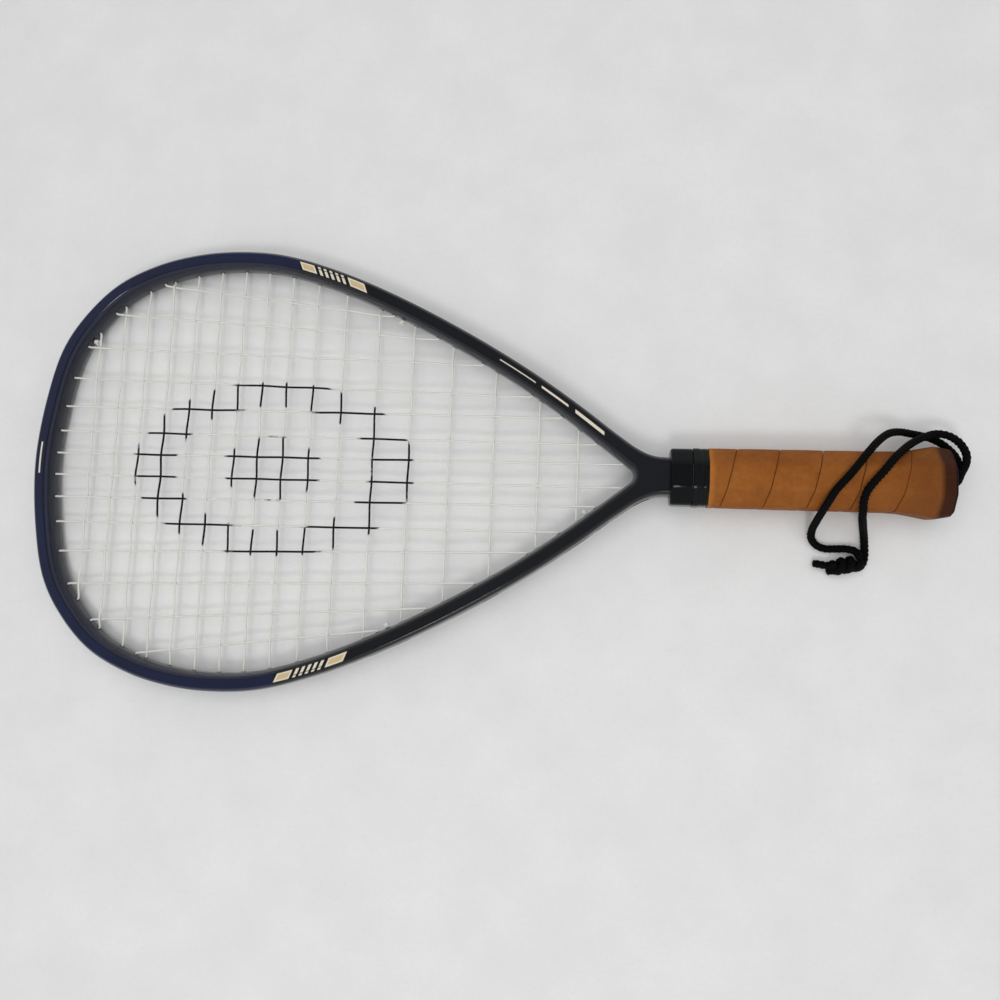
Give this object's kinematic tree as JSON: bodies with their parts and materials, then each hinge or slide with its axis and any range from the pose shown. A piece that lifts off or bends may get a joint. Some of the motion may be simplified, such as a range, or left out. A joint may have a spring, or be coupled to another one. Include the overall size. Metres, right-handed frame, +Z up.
{
  "type": "racquetball racket",
  "caption": "Teardrop racquetball racket with a woven string bed, a leather-wound octagonal handle with flared butt, and a loose wrist cord.",
  "frame": {"origin": "On the surface the racket lies on, under the middle of its length and width, without the wrist cord.", "axes": "+X runs from the tip of the head towards the butt, +Y across the head, +Z up. The racket lies on the crown of its tip and the flare of its butt, so its long axis rises by 1.0 degree towards the butt."},
  "size_m": [0.5391, 0.2634, 0.0362],
  "materials": {
    "graphite": "gloss lacquer over moulded graphite, navy with black and gold",
    "vinyl": "satin",
    "string": "clear nylon, gloss",
    "polyurethane": "moulded foam, matte",
    "black_rubber": "gloss",
    "black_tape": "gloss",
    "leather": "smooth, worn",
    "cap_plastic": "satin",
    "steel": "satin",
    "cord": "braided, matte"
  },
  "bodies": {
    "root": {"frame": "graphite", "grommet_strip_left": "vinyl", "grommet_strip_tip": "vinyl", "grommet_strip_right": "vinyl", "main_string": "string", "cross_string": "string", "main_tie_knot_left": "string", "main_tie_knot_right": "string", "cross_tie_knot_tip": "string", "cross_tie_knot_throat": "string", "pallet_upper": "polyurethane", "pallet_lower": "polyurethane", "grip_collar": "black_rubber", "finishing_tape": "black_tape", "leather_grip": "leather", "butt_cap": "cap_plastic", "cord_peg": "steel", "cord_bight": "cord", "cord_strand_wide": "cord", "cord_strand_long": "cord", "cord_knot": "cord"}
  },
  "joints": []
}
